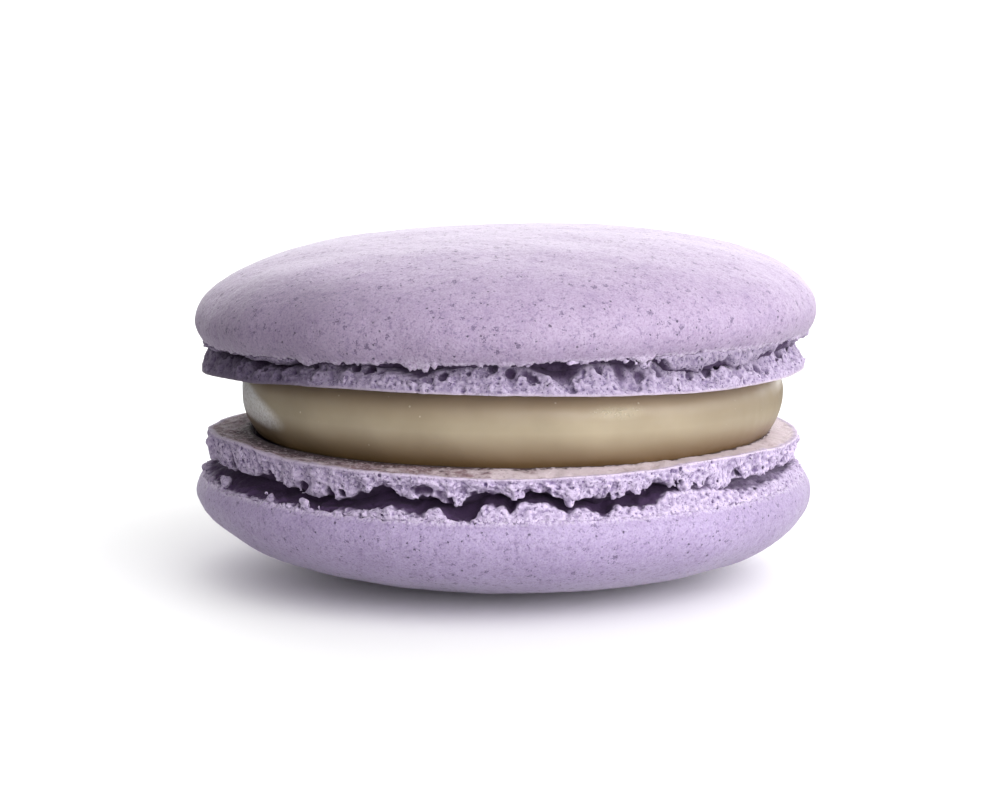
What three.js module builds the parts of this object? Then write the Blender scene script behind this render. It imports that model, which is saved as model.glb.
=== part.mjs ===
// A French macaron: two domed almond shells, each with its ruffled foot, and a round of ganache between them.
//
// Units are millimetres and +Z is up. The origin is on the axis, level with the small flat on which the
// macaron rests. Angles run from the front (-Y) towards the right (+X), in radians.
//
// A shell is one baked piece. It is drawn standing on its flat base, where the ganache goes: the foot rises
// from the base, a deep crack runs all round above it, and the smooth dome overhangs the crack with its rim.
// The lower shell is the same kind of piece, turned upside down and flattened a little where it stands.

import * as THREE from "three";

const TURN = 2 * Math.PI;
const { degToRad, lerp, smoothstep } = THREE.MathUtils;

// ---- Driving dimensions ----

const SHELL_SIDES = 92;
const FILLING_SIDES = 64;

// Heights in a shell are measured from its flat base.
const LOWER_SHELL = {
  name: "shell_bottom",
  footRadius: 21.35,
  footHeight: 1.7,
  footShift: 0, // how far the foot sits off to the left
  footLean: 0.3, // how far its side leans in over the heights of leanFrom
  leanFrom: [0.4, 2.1],
  // How far the foot's outer edge draws back from the base plane, at angles from the front in degrees.
  footEdge: [
    [-130, 0.7],
    [-100, 0.35],
    [-78, -0.2],
    [-60, -0.38],
    [-42, 0],
    [-21, 0.13],
    [0, 0.32],
    [28, 0.1],
    [41, -0.12],
    [55, -0.05],
    [68, 0.22],
    [90, 0.4],
    [180, 0.3],
  ],
  crackHeight: 2.45, // the middle of the crack
  crackRadius: 18.6, // how far in the crack reaches
  rimRadius: 21.7,
  rimHeight: 3.15,
  waistRadius: 22.3, // the widest place of the dome
  waistHeight: 4.4,
  domeHeight: 6.2, // above the waist
  fullness: 2.6, // 2 is an ellipse, and more is squarer at the shoulder
  flatRadius: 5.0, // the spot on which it stands
  slant: 0.017, // how much the dome rises on its foot for each millimetre to the right
  slantFrom: [3.6, 7.0], // the heights over which the slant sets in
  phase: 0.4, // sets where the waves fall
  facing: -1, // turned over, its angles run the other way
};
const UPPER_SHELL = {
  name: "shell_top",
  footRadius: 21.75,
  footHeight: 1.4,
  footShift: 0.2,
  footLean: 1.0,
  leanFrom: [0.15, 1.7],
  footEdge: [
    [-90, -0.7],
    [-55, -0.27],
    [-39, 0],
    [-28, 0.07],
    [0, 0],
    [24, -0.12],
    [37, -0.18],
    [61, -0.05],
    [75, 0.05],
    [110, 0.1],
    [180, -0.1],
    [225, -0.3],
  ],
  crackHeight: 1.75,
  crackRadius: 18.9,
  rimRadius: 21.75,
  rimHeight: 2.1,
  waistRadius: 22.45,
  waistHeight: 3.6,
  domeHeight: 6.12,
  fullness: 2.5,
  flatRadius: 0,
  slant: 0.028,
  slantFrom: [0.9, 2.2],
  phase: 2.1,
  facing: 1,
};
const FILLING = {
  name: "filling",
  thickness: 4.45,
  bottomRadius: 18.6,
  bulgeRadius: 19.6,
  topRadius: 18.4,
  bulgeHeight: 2.7,
  sideRoundness: 2.3,
  sideSteps: 8,
};

const SEAT_GAP = 0.1; // between the filling and each shell
const LOWER_SHIFT = -0.04; // how far each piece sits off the axis, along X
const FILLING_SHIFT = 0.65;
const UPPER_SHIFT = 0.15;
const UPPER_PITCH = degToRad(-1.8); // the front of the upper shell is raised
const UPPER_ROLL = degToRad(0.5); // and its right side is lower

// Sizes of the unevenness that baking leaves.
const OUTLINE_WAVE = 0.12;
const FRILL_WAVE = 0.18;
const FOOT_EDGE_WAVE = 0.22;
const CRACK_DEPTH_WAVE = 0.5;
const RIM_WAVE = 0.09;
const LIP = 0.28; // how far the underside of the rim rises behind its edge
const SOFT_EDGE = 0.14; // the rounding of the foot's lower edge
const SEAT_RADIUS = 19.6; // the base is flat as far out as this

// ---- Unevenness ----

// A smooth wave round the shell, between about -1 and 1, made of a few whole numbers of lobes.
function wave(angle, lobes, phase) {
  const parts = lobes.map((count, i) => Math.sin(count * angle + phase * count * (i + 1.7)));
  return parts.reduce((sum, part) => sum + part, 0) / lobes.length;
}

const outlineWave = (angle, shell) => OUTLINE_WAVE * wave(angle, [2, 3, 5], shell.phase);
const frillWave = (angle, shell) => FRILL_WAVE * wave(angle, [11, 19, 31], shell.phase);
const edgeWave = (angle, shell) => FOOT_EDGE_WAVE * wave(angle, [7, 12, 23], shell.phase + 1);
const depthWave = (angle, shell) => CRACK_DEPTH_WAVE * wave(angle, [3, 8, 13], shell.phase + 2);
const rimWave = (angle, shell) => RIM_WAVE * wave(angle, [4, 9, 16], shell.phase + 3);

// Runs smoothly round the shell through stops of [angle in degrees, value], given in rising order.
function aroundStops(angle, stops) {
  const degreesIn = THREE.MathUtils.radToDeg(angle);
  const first = stops[0][0];
  const here = first + THREE.MathUtils.euclideanModulo(degreesIn - first, 360);
  const closed = [...stops, [first + 360, stops[0][1]]];
  const next = closed.findIndex(([stop]) => stop > here);
  const [from, to] = [closed[next - 1], closed[next]];
  return lerp(from[1], to[1], smoothstep(here, from[0], to[0]));
}

// ---- Sections: [radius, height] points from the base's centre, up the outside, to the top's centre ----

const DOME_STEPS = 9;
const TUCK_STEPS = 3;

// The foot's base, its soft lower edge and its ruffled side, up to the crack.
function footSection(shell, angle) {
  const side = shell.footRadius - shell.footShift * Math.sin(shell.facing * angle) + frillWave(angle, shell);
  const edge = aroundStops(shell.facing * angle, shell.footEdge);
  const top = shell.footHeight + edgeWave(angle, shell) + 0.5 * edge;
  const middle = lerp(edge, top, 0.6);
  const leanAt = (height) => shell.footLean * smoothstep(height, ...shell.leanFrom);
  return [
    [0, 0],
    [SEAT_RADIUS, 0],
    [side - SOFT_EDGE, edge],
    [side, edge + SOFT_EDGE],
    [side + 0.05 - leanAt(middle), middle],
    [side - 0.1 - leanAt(top), top - 0.2],
    [side - 0.45 - leanAt(top), top],
  ];
}

// The crack: its floor inwards, its root, and its roof outwards to the dome's rim.
function crackSection(shell, angle) {
  const root = shell.crackRadius + depthWave(angle, shell);
  const middle = shell.crackHeight;
  return [
    [root + 0.6, middle - 0.25],
    [root, middle],
    [root + 0.5, middle + 0.25],
    [lerp(root, shell.rimRadius, 0.6), shell.rimHeight + LIP],
    [shell.rimRadius - 0.3, shell.rimHeight + 0.5 * LIP],
  ];
}

// The rim, the side that swells out to the waist, and the dome over it.
function domeSection(shell, angle) {
  const rimHeight = shell.rimHeight + rimWave(angle, shell);
  const points = [];
  for (let i = 0; i < TUCK_STEPS; i++) {
    const share = i / TUCK_STEPS;
    points.push([
      lerp(shell.rimRadius, shell.waistRadius, share * (2 - share)),
      lerp(rimHeight, shell.waistHeight, share),
    ]);
  }
  const lastTurn = Math.acos(Math.pow(shell.flatRadius / shell.waistRadius, shell.fullness / 2));
  for (let i = 0; i <= DOME_STEPS; i++) {
    const turn = (i / DOME_STEPS) * lastTurn;
    points.push([
      shell.waistRadius * Math.pow(Math.max(0, Math.cos(turn)), 2 / shell.fullness),
      shell.waistHeight + shell.domeHeight * Math.sin(turn),
    ]);
  }
  if (shell.flatRadius > 0) points.push([0, points.at(-1)[1]]);
  return points;
}

// The whole outline of a shell at one angle, with the dome's slant and the outline's waves.
function shellSection(shell, angle) {
  const flat = [...footSection(shell, angle), ...crackSection(shell, angle), ...domeSection(shell, angle)];
  const widening = 1 + outlineWave(angle, shell) / shell.waistRadius;
  return flat.map(([r, h]) => {
    const slant = shell.slant * shell.facing * smoothstep(h, ...shell.slantFrom);
    return [r * widening, h + slant * Math.max(0, r - shell.flatRadius) * Math.sin(angle)];
  });
}

// The height of a shell from its base to the middle of its dome.
const shellHeight = (shell) => domeSection(shell, 0).at(-1)[1];

// The ganache bulges most above its middle and draws in towards both shells. thicknessAt(radius) is its
// height at a radius, because its top follows the upper shell.
function fillingSection(thicknessAt) {
  const points = [[0, 0]];
  for (let i = 0; i <= FILLING.sideSteps; i++) {
    const height = (i / FILLING.sideSteps) * FILLING.thickness;
    const below = height < FILLING.bulgeHeight;
    const span = below ? FILLING.bulgeHeight : FILLING.thickness - FILLING.bulgeHeight;
    const endRadius = below ? FILLING.bottomRadius : FILLING.topRadius;
    const away = Math.abs(height - FILLING.bulgeHeight) / span;
    const radius = lerp(FILLING.bulgeRadius, endRadius, Math.pow(away, FILLING.sideRoundness));
    points.push([radius, (height / FILLING.thickness) * thicknessAt(radius)]);
  }
  points.push([0, thicknessAt(0)]);
  return points;
}

// ---- Solids ----

// A lathe whose section changes with the angle. sectionAt(angle) always has the same number of points.
function unevenLathe(sectionAt, sides) {
  const first = sectionAt(0).map(([r, h]) => new THREE.Vector2(r, h));
  const geometry = new THREE.LatheGeometry(first, sides);
  const position = geometry.attributes.position;
  for (let side = 0; side <= sides; side++) {
    const angle = ((side % sides) / sides) * TURN;
    sectionAt(angle).forEach(([r, h], i) => {
      position.setXYZ(side * first.length + i, r * Math.sin(angle), h, r * Math.cos(angle));
    });
  }
  geometry.rotateX(Math.PI / 2); // the lathe turns about Y
  geometry.computeVertexNormals();
  return geometry;
}

function makeShell(shell, material) {
  const geometry = unevenLathe((angle) => shellSection(shell, angle), SHELL_SIDES);
  const mesh = new THREE.Mesh(geometry, material);
  mesh.name = shell.name;
  return mesh;
}

// thicknessAt(x, y) is the height of the ganache at a place.
function makeFilling(thicknessAt, material) {
  const sectionAt = (angle) =>
    fillingSection((radius) => thicknessAt(radius * Math.sin(angle), -radius * Math.cos(angle)));
  const mesh = new THREE.Mesh(unevenLathe(sectionAt, FILLING_SIDES), material);
  mesh.name = FILLING.name;
  return mesh;
}

// ---- The macaron ----

const lowerMaterial = new THREE.MeshStandardMaterial({ color: 0xb9a6cf, roughness: 0.75, metalness: 0 });
const upperMaterial = new THREE.MeshStandardMaterial({ color: 0xc3b1d9, roughness: 0.75, metalness: 0 });
const fillingMaterial = new THREE.MeshStandardMaterial({ color: 0xb09c78, roughness: 0.35, metalness: 0 });

const lowerBaseHeight = shellHeight(LOWER_SHELL);
const fillingHeight = lowerBaseHeight + SEAT_GAP;
const upperBaseHeight = fillingHeight + FILLING.thickness + SEAT_GAP;

const lowerShell = makeShell(LOWER_SHELL, lowerMaterial);
lowerShell.rotation.y = Math.PI;
lowerShell.position.set(LOWER_SHIFT, 0, lowerBaseHeight);

const upperShell = makeShell(UPPER_SHELL, upperMaterial);
upperShell.rotation.set(UPPER_PITCH, UPPER_ROLL, 0);
upperShell.position.set(UPPER_SHIFT, 0, upperBaseHeight);

// The top of the filling lies along the upper shell's slanted base.
const upperNormal = new THREE.Vector3(0, 0, 1).applyEuler(upperShell.rotation);
const fillingThickness = (x, y) =>
  FILLING.thickness - ((x + FILLING_SHIFT - UPPER_SHIFT) * upperNormal.x + y * upperNormal.y) / upperNormal.z;

const filling = makeFilling(fillingThickness, fillingMaterial);
filling.position.set(FILLING_SHIFT, 0, fillingHeight);

const macaron = new THREE.Group();
macaron.name = "macaron";
macaron.add(lowerShell, filling, upperShell);

export default macaron;
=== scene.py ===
"""A French macaron: two baked almond shells with ruffled feet, and ganache between them.

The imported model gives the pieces' places. Here each shell becomes a smooth domed cap and a ring of porous
crumb, which is the foot and the open crack above it, and the ganache becomes a soft glossy round.
Sizes are in millimetres until a mesh is made, and angles run from the front (-Y) towards the right (+X).
"""

import math
from types import SimpleNamespace

import bpy
import numpy as np
from mathutils import Euler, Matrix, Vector
from mathutils.kdtree import KDTree


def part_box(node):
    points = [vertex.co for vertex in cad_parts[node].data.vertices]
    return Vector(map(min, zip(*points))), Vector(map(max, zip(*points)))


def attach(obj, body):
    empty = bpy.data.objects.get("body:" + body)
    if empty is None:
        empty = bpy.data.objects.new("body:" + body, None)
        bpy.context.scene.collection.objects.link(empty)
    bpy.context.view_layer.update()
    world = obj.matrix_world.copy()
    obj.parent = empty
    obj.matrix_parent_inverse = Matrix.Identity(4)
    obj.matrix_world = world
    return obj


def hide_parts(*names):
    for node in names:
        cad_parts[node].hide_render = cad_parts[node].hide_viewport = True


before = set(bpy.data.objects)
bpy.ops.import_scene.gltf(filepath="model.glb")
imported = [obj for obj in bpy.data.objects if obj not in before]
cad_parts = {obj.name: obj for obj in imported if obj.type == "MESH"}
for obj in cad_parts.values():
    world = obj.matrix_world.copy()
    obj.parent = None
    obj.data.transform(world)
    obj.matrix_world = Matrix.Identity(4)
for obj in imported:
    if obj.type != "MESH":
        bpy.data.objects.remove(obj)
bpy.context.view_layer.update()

MM = 0.001
TURN = 2 * math.pi
FRONT_Y = -1.0

# ---- Driving sizes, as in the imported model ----

SEAT_GAP = 0.1
FILLING_THICKNESS = 4.45
LOWER_SHIFT = -0.04
FILLING_SHIFT = 0.65
UPPER_SHIFT = 0.15
UPPER_TURN = np.array(Euler((math.radians(-1.8), math.radians(0.5), 0)).to_matrix())

# A shell's heights run from its flat base towards the top of its dome. Lists of pairs give a value at
# angles from the front, in degrees: foot_edge bends the base's edge, foot_top and crumb_low are the crack's
# sides, root is the radius at which it ends, the shade lists say how much painted shade darkens the cap,
# the foot, the rim crumb and the crack, and the edge value says how much a painted highlight lightens the
# base's thin edge. Nubs and bubbles are (degrees, height, size).
LOWER = SimpleNamespace(
    name="lower",
    node="shell_bottom",
    seed=11,
    foot_radius=21.35,
    foot_shift=0,
    foot_lean=0.3,
    lean_from=(0.4, 2.1),
    foot_edge=[
        (-130, 0.7), (-100, 0.35), (-78, -0.2), (-60, -0.38), (-42, 0), (-21, 0.13), (0, 0.32),
        (17, 0.2), (28, 0.1), (41, -0.12), (55, -0.05), (68, 0.22), (90, 0.4), (130, 0.35), (180, 0.3),
    ],
    foot_top=[
        (-75, 1.65), (-57, 1.4), (-33, 2.15), (-22.3, 0.95), (-18, 1.7), (-15.5, 1.5), (-9, 2.05),
        (-2.3, 0.95), (1.8, 1.65), (5.3, 1.1), (14, 1.95), (20, 1.9), (30, 1.05), (36, 1.75), (40, 1.5),
        (47, 1.9), (49.5, 1.4), (53, 1.6), (57, 1.35), (61, 1.65), (68, 1.7), (100, 1.9), (140, 1.6),
        (200, 1.9), (240, 1.7),
    ],
    foot_nubs=[(-8.4, 1.6, 0.5), (1.8, 1.35, 0.3), (12.1, 2.05, 0.3), (35, 1.5, 0.35)],
    foot_bubbles=[
        (-14.9, 1.2, 0.6), (-11.3, 1.65, 0.4), (4.5, 1.35, 0.45), (7.5, 1.3, 0.5), (-22.3, 1, 0.35),
    ],
    crumb_low=[
        (-75, 3.05), (-60, 3.15), (-30, 3.1), (-20, 2.5), (-15.5, 3), (-12.5, 2.4), (-9, 3.15),
        (-6.3, 3.15), (-3, 2.3), (0, 2.2), (1.2, 2.6), (3.4, 1.95), (8, 2.1), (10.7, 2.6), (15, 2.5),
        (19.3, 3.1), (21.2, 2.6), (24, 2.75), (28, 2.6), (32, 1.85), (38, 1.8), (46, 2.3), (51, 2.7),
        (60, 2.65), (67, 2.4), (100, 2.8), (140, 2.4), (200, 2.9), (240, 2.6),
    ],
    crumb_nubs=[(-66, 2.75, 0.5), (-48.5, 2.95, 0.58), (-39, 3, 0.48), (21.2, 2.7, 0.25), (15, 2.6, 0.2)],
    crumb_lumps=380,
    crumb_lean=[(0, 0.36)],
    root=[
        (-80, 20.2), (-68, 19.6), (-45, 19.4), (30, 19.4), (36, 20.8), (43, 20.9), (50, 20), (60, 20),
        (70, 20.2), (100, 19.8), (200, 19.6),
    ],
    crack_tone=[
        (-90, 0.9), (-60, 1), (32, 1), (45, 0.75), (60, 0.65), (85, 0.6), (130, 0.85), (200, 0.9),
    ],
    edge_tone=0.4,
    # Painted shade on the cap: how much the dome darkens near its rim, by angle.
    cap_tone=[
        (-95, 0.04), (-75, 0.05), (-55, 0.13), (-38, 0.09), (-10, 0), (35, 0), (60, 0.12), (90, 0.2),
        (180, 0.1),
    ],
    foot_tone=[(-90, 0.3), (-45, 0.26), (-15, 0.03), (0, 0), (60, 0), (120, 0.1), (200, 0.1)],
    crumb_tone=[(-90, 0.4), (-60, 0.34), (-35, 0.14), (0, 0), (45, 0.05), (70, 0.12), (180, 0.1)],
    rim_radius=21.7,
    rim_height=3.15,
    rim_drop=[(0, 0)],
    waist_radius=22.3,
    waist_height=4.4,
    dome_height=6.2,
    fullness=2.6,
    slant=0.013,
    slant_from=(3.6, 7.0),
)
UPPER = SimpleNamespace(
    name="upper",
    node="shell_top",
    seed=23,
    foot_radius=21.75,
    foot_shift=-0.2,
    foot_lean=1.0,
    lean_from=(0.15, 1.7),
    foot_edge=[
        (-90, -0.7), (-55, -0.27), (-39, 0), (-28, 0.07), (0, 0), (24, -0.12), (37, -0.18), (61, -0.05),
        (75, 0.05), (110, 0.1), (180, -0.1), (225, -0.3),
    ],
    foot_top=[
        (-90, 1.5), (-70, 1.35), (-65, 0.8), (-62, 0.65), (-59.5, 1.4), (-57.5, 1.3), (-54.5, 0.55),
        (-51, 0.9), (-46, 0.7), (-43, 1), (-38, 1.4), (-29, 1.5), (-23, 1.05), (-14.5, 0.65),
        (-11, 1.3), (0, 1.7), (6, 1.15), (10, 0.6), (13, 0.9), (15, 1.55), (21, 1.5), (24.3, 0.85),
        (28, 1.55), (36, 1.3), (45, 1.25), (50, 1.1), (57, 0.9), (64, 1.25), (75, 1.4), (130, 1.6),
        (200, 1.2), (240, 1.5),
    ],
    foot_nubs=[],
    foot_bubbles=[(-14.5, 1, 0.5), (10, 1.3, 0.55), (-24, 1.2, 0.4), (4, 1.5, 0.35)],
    crumb_low=[
        (-90, 1.7), (-68, 1.8), (-64, 2.2), (-58, 2.1), (-55, 1.65), (-46, 1.5), (-42.6, 1.75),
        (-41, 2.2), (-38, 1.75), (-35, 2.2), (28.5, 2.25), (31.5, 1.4), (40, 1.4), (43, 1.7), (46, 1.3),
        (51.5, 1.55), (57, 1.95), (66, 2.1), (75, 1.9), (120, 2), (240, 2.2),
    ],
    crumb_nubs=[
        (23.7, 1.9, 0.2), (24.5, 1.72, 0.24), (25.4, 1.7, 0.22), (26.2, 1.85, 0.24), (-38, 1.85, 0.2),
    ],
    crumb_lumps=90,
    crumb_lean=[
        (-90, 0.65), (-60, 0.6), (-30, 0.4), (20, 0.35), (32, 0.15), (55, 0.2), (68, 0.5), (90, 0.65),
        (180, 0.4),
    ],
    root=[
        (-80, 21), (-66, 20.6), (-57, 20), (-48, 20.6), (-33, 20.9), (-18, 20.4), (0, 20.8), (5, 20.2),
        (9.5, 19.6), (14, 20.4), (24, 20.2), (31, 21.1), (42, 21), (50, 20.5), (60, 20.8), (75, 21.1),
        (100, 20.5), (200, 20.2),
    ],
    crack_tone=[(0, 0.9)],
    edge_tone=1.0,
    cap_tone=[
        (-95, 0), (-78, 0.03), (-58, 0.27), (-38, 0.32), (-18, 0.07), (10, 0), (60, 0), (180, 0.05),
    ],
    foot_tone=[
        (-90, 0.6), (-62, 0.82), (-45, 0.8), (-28, 0.45), (-10, 0.26), (60, 0.17), (120, 0.25),
        (200, 0.3),
    ],
    crumb_tone=[
        (-90, 0.4), (-62, 0.66), (-45, 0.6), (-28, 0.3), (0, 0.1), (20, 0.1), (32, 0.42), (50, 0.4),
        (70, 0.25), (180, 0.3),
    ],
    rim_radius=21.75,
    rim_height=2.1,
    rim_drop=[
        (-41, 0), (-38.6, 0.45), (-36.5, 0), (-19, 0), (-17, 0.45), (-14, 0.5), (-13.4, 0.1),
        (-12.7, 0.45), (-12, 0), (22.7, 0), (24, 0.18), (26, 0.18), (27.3, 0),
    ],
    waist_radius=22.45,
    waist_height=3.6,
    dome_height=6.12,
    fullness=2.5,
    slant=0.028,
    slant_from=(0.9, 2.2),
)

# The base is stained, and darkened by painted shadow under the ganache's bulge, from the ganache outwards,
# as far as this at angles from the front, in degrees.
STAIN_FROM = 18.6
STAIN_REACH = [
    (-95, 1.4), (-72, 3.4), (-52, 4.2), (-32, 2.4), (-10, 1.5), (20, 1.1), (38, 0.45), (100, 0.3),
    (180, 1),
]

base_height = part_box("filling")[0].z / MM - SEAT_GAP
upper_height = base_height + FILLING_THICKNESS + 2 * SEAT_GAP

CAMERA_DISTANCE = 240.0
CAMERA_ELEVATION = math.radians(8.62)
CAMERA_AIM = (-0.26, 0.0, 12.33)
CAMERA_LENS = 118.8
CARD_RADIUS = 45.0


# ---- Uneven values ----


class NoiseBlock:
    """A block of smooth random values that repeats without a seam, with a spread of 1 about 0.

    Its waves run from longest to shortest, in cells, and slope says how fast they weaken as they shorten.
    """

    size = 80

    def __init__(self, seed, longest, shortest, slope=0.5):
        size = self.size
        waves = np.fft.rfftn(np.random.default_rng(seed).standard_normal((size,) * 3))
        full, half = np.fft.fftfreq(size), np.fft.rfftfreq(size)
        pitch = np.sqrt(full[:, None, None] ** 2 + full[None, :, None] ** 2 + half[None, None, :] ** 2)
        kept = (pitch >= 1 / longest) & (pitch <= 1 / shortest)
        waves[kept] *= pitch[kept] ** -(1 + slope)
        waves[~kept] = 0
        block = np.fft.irfftn(waves, s=(size,) * 3)
        self.values = (block / block.std()).astype(np.float32)

    def at(self, places, cell):
        """The values at an array of places, in mm, where a cell is that wide."""
        spot = np.asarray(places) / cell
        low = np.floor(spot).astype(np.int64)
        part = (spot - low).astype(np.float32)
        total = np.zeros(spot.shape[:-1], np.float32)
        for corner in np.ndindex(2, 2, 2):
            index = tuple(np.moveaxis((low + corner) % self.size, -1, 0))
            share = np.prod(np.where(corner, part, 1 - part), axis=-1)
            total += self.values[index] * share
        return total


SOFT = NoiseBlock(1, longest=20, shortest=6)
LUMPY = NoiseBlock(2, longest=12, shortest=3)
ROUGH = NoiseBlock(3, longest=8, shortest=2.2, slope=0.0)


def around(stops, angle):
    """Runs smoothly round a shell through stops of (degrees, value)."""
    places, values = np.array(stops + [(stops[0][0] + 360, stops[0][1])], float).T
    here = places[0] + np.mod(np.degrees(angle) - places[0], 360)
    i = np.clip(np.searchsorted(places, here, side="right") - 1, 0, len(stops) - 1)
    part = (here - places[i]) / (places[i + 1] - places[i])
    return values[i] + (values[i + 1] - values[i]) * part * part * (3 - 2 * part)


def ease(value, start, end):
    """0 up to start, 1 from end on, and smooth between."""
    part = np.clip((value - start) / (end - start), 0, 1)
    return part * part * (3 - 2 * part)


def polar(angle, radius, height):
    """Places from angles, radii and heights."""
    shape = np.broadcast(angle, radius, height).shape
    x = np.broadcast_to(radius * np.sin(angle), shape)
    y = np.broadcast_to(FRONT_Y * radius * np.cos(angle), shape)
    return np.stack([x, y, np.broadcast_to(height, shape)], axis=-1)


# ---- Meshes ----


def make_piece(name, places, faces, material, nodes):
    """A smooth mesh piece from places in mm and faces of one size, riding on the root body."""
    places = np.asarray(places, float) * MM
    faces = outward(places, np.asarray(faces))
    mesh = bpy.data.meshes.new(name)
    mesh.vertices.add(len(places))
    mesh.vertices.foreach_set("co", places.astype(np.float32).ravel())
    mesh.loops.add(faces.size)
    mesh.loops.foreach_set("vertex_index", faces.astype(np.int32).ravel())
    mesh.polygons.add(len(faces))
    mesh.polygons.foreach_set("loop_start", np.arange(0, faces.size, faces.shape[1], dtype=np.int32))
    mesh.update(calc_edges=True)
    mesh.validate()
    mesh.shade_smooth()
    mesh.materials.append(material)
    piece = bpy.data.objects.new(name, mesh)
    bpy.context.scene.collection.objects.link(piece)
    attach(piece, "root")
    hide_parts(*nodes)
    return piece


def outward(places, faces):
    """The faces of a closed mesh, turned so that they point out."""
    first, second, third = (places[faces[:, i]] for i in range(3))
    volume = np.einsum("ij,ij->i", first, np.cross(second, third)).sum()
    if faces.shape[1] == 4:
        fourth = places[faces[:, 3]]
        volume += np.einsum("ij,ij->i", first, np.cross(third, fourth)).sum()
    return faces if volume > 0 else faces[:, ::-1]


def add_values(piece, **named):
    """Gives each point of a piece the named numbers, which its material reads."""
    for name, values in named.items():
        attribute = piece.data.attributes.new(name, "FLOAT", "POINT")
        attribute.data.foreach_set("value", np.asarray(values, np.float32))


def hollowness(places, quads):
    """How far each point lies below its neighbours, in mm, where above 0 is a pit. Quads point out."""
    one, other = np.concatenate([quads[:, [i, (i + 1) % 4]] for i in range(4)]).T
    neighbours = np.bincount(one, minlength=len(places)) + np.bincount(other, minlength=len(places))
    smooth = places
    for _ in range(2):
        total = sums(one, smooth[other], len(places)) + sums(other, smooth[one], len(places))
        smooth = total / neighbours[:, None]
    first, second, third, fourth = (places[corner] for corner in quads.T)
    across = np.cross(third - first, fourth - second)
    normal = sum(sums(corner, across, len(places)) for corner in quads.T)
    normal /= np.maximum(np.linalg.norm(normal, axis=1), 1e-12)[:, None]
    return np.einsum("ij,ij->i", smooth - places, normal)


def sums(index, vectors, count):
    """For each of count points, the sum of the vectors whose index it is."""
    return np.stack([np.bincount(index, vectors[:, axis], count) for axis in range(3)], axis=1)


def stitch(low, low_count, high, high_count):
    """Triangles between two rings of points, which start at the indices low and high at the same angle."""
    low_step, high_step = np.arange(low_count), np.arange(high_count)
    low_middle, high_middle = (low_step + 0.5) / low_count, (high_step + 0.5) / high_count
    over = np.searchsorted(high_middle, low_middle, side="left") % high_count
    up = np.stack([low + low_step, low + (low_step + 1) % low_count, high + over], axis=1)
    if high_count == 1:
        return up
    under = np.searchsorted(low_middle, high_middle, side="right") % low_count
    down = np.stack([high + (high_step + 1) % high_count, high + high_step, low + under], axis=1)
    return down if low_count == 1 else np.concatenate([up, down])


def surface_net(field):
    """Places, in grid steps, and quads where a field crosses 0. It closes on itself along its first axis.

    Each grid cell that the surface passes gets one point, at the middle of its edges' crossings.
    """
    _, rows, layers = field.shape
    keys = list(np.ndindex(2, 2, 2))
    turned = (field, np.roll(field, -1, axis=0))
    corners = [turned[a][:, b : rows - 1 + b, c : layers - 1 + c] for a, b, c in keys]
    filled = sum((corner < 0).astype(np.int8) for corner in corners)
    cells = np.argwhere((filled > 0) & (filled < 8))
    values = np.stack([corner[tuple(cells.T)] for corner in corners], axis=1)
    total, crossings = np.zeros((len(cells), 3)), np.zeros(len(cells))
    for i, start in enumerate(keys):
        for j, end in enumerate(keys):
            step = np.subtract(end, start)
            if np.abs(step).sum() != 1 or step.sum() < 0:
                continue
            crossed = (values[:, i] < 0) != (values[:, j] < 0)
            part = values[crossed, i] / (values[crossed, i] - values[crossed, j])
            total[crossed] += start + part[:, None] * step
            crossings[crossed] += 1
    number = np.full(field.shape, -1)
    number[tuple(cells.T)] = np.arange(len(cells))
    return cells + total / crossings[:, None], net_quads(field, number), cells


def net_quads(field, number):
    """A quad round each grid edge that the surface crosses. number is each cell's point, or -1 for none."""
    inside = field < 0
    quads = []
    for axis, one, two in ((0, 1, 2), (1, 2, 0), (2, 0, 1)):
        edges = np.argwhere(inside != np.roll(inside, -1, axis=axis))
        leaving = inside[tuple(edges.T)]
        ring = []
        for back_one, back_two in ((1, 1), (0, 1), (0, 0), (1, 0)):
            cell = edges.copy()
            cell[:, one] -= back_one
            cell[:, two] -= back_two
            ring.append(number[tuple(cell.T)])
        quad = np.stack(ring, axis=1)
        quad[~leaving] = quad[~leaving][:, ::-1]
        quads.append(quad[(quad >= 0).all(axis=1)])
    return np.concatenate(quads)


def largest_part(count, quads):
    """True for each point that belongs to the mesh's largest connected part."""
    edges = np.concatenate([quads[:, [i, i - 1]] for i in range(4)])
    label = np.arange(count)
    while True:
        least = np.minimum(label[edges[:, 0]], label[edges[:, 1]])
        new = label.copy()
        np.minimum.at(new, edges[:, 0], least)
        np.minimum.at(new, edges[:, 1], least)
        new = new[new]
        if np.array_equal(new, label):
            return label == np.bincount(label).argmax()
        label = new


# ---- Shells ----


def place_lower(places):
    """From heights above the lower shell's base to the row frame, where that shell is dome down."""
    placed = np.array(places, float)
    placed[:, 0] += LOWER_SHIFT
    placed[:, 2] = np.maximum(base_height - placed[:, 2], 0)
    return placed


def place_upper(places):
    """From heights above the upper shell's base to the row frame, with its slight slant."""
    return np.asarray(places) @ UPPER_TURN.T + (UPPER_SHIFT, 0, upper_height)


LOWER.place = place_lower
UPPER.place = place_upper


def bent(shell, angle, radius, height):
    """Places of a shell, bent to its foot's uneven edge and its dome's slant."""
    edge = around(shell.foot_edge, angle)
    outer = ease(radius, 19.0, 21.3) * (1 - ease(height, 0.3, 1.3))
    lean = shell.slant * radius * np.sin(angle) * ease(height, *shell.slant_from)
    return polar(angle, radius, height + edge * outer + lean)


# ---- Caps ----

RIM_STEP = 0.1
SKIN_STEP = 0.17
TOP_STEP = 0.26
# The skin's hidden inside, as (inset from the rim, height above it), from far in to near the rim.
SKIN_INSIDE = [(2.4, 0.55), (0.5, 0.45), (0.28, 0.1)]
PITS = 420
PIT_REACH = (0.25, 0.6)
PIT_DEPTH = (0.01, 0.06)


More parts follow.
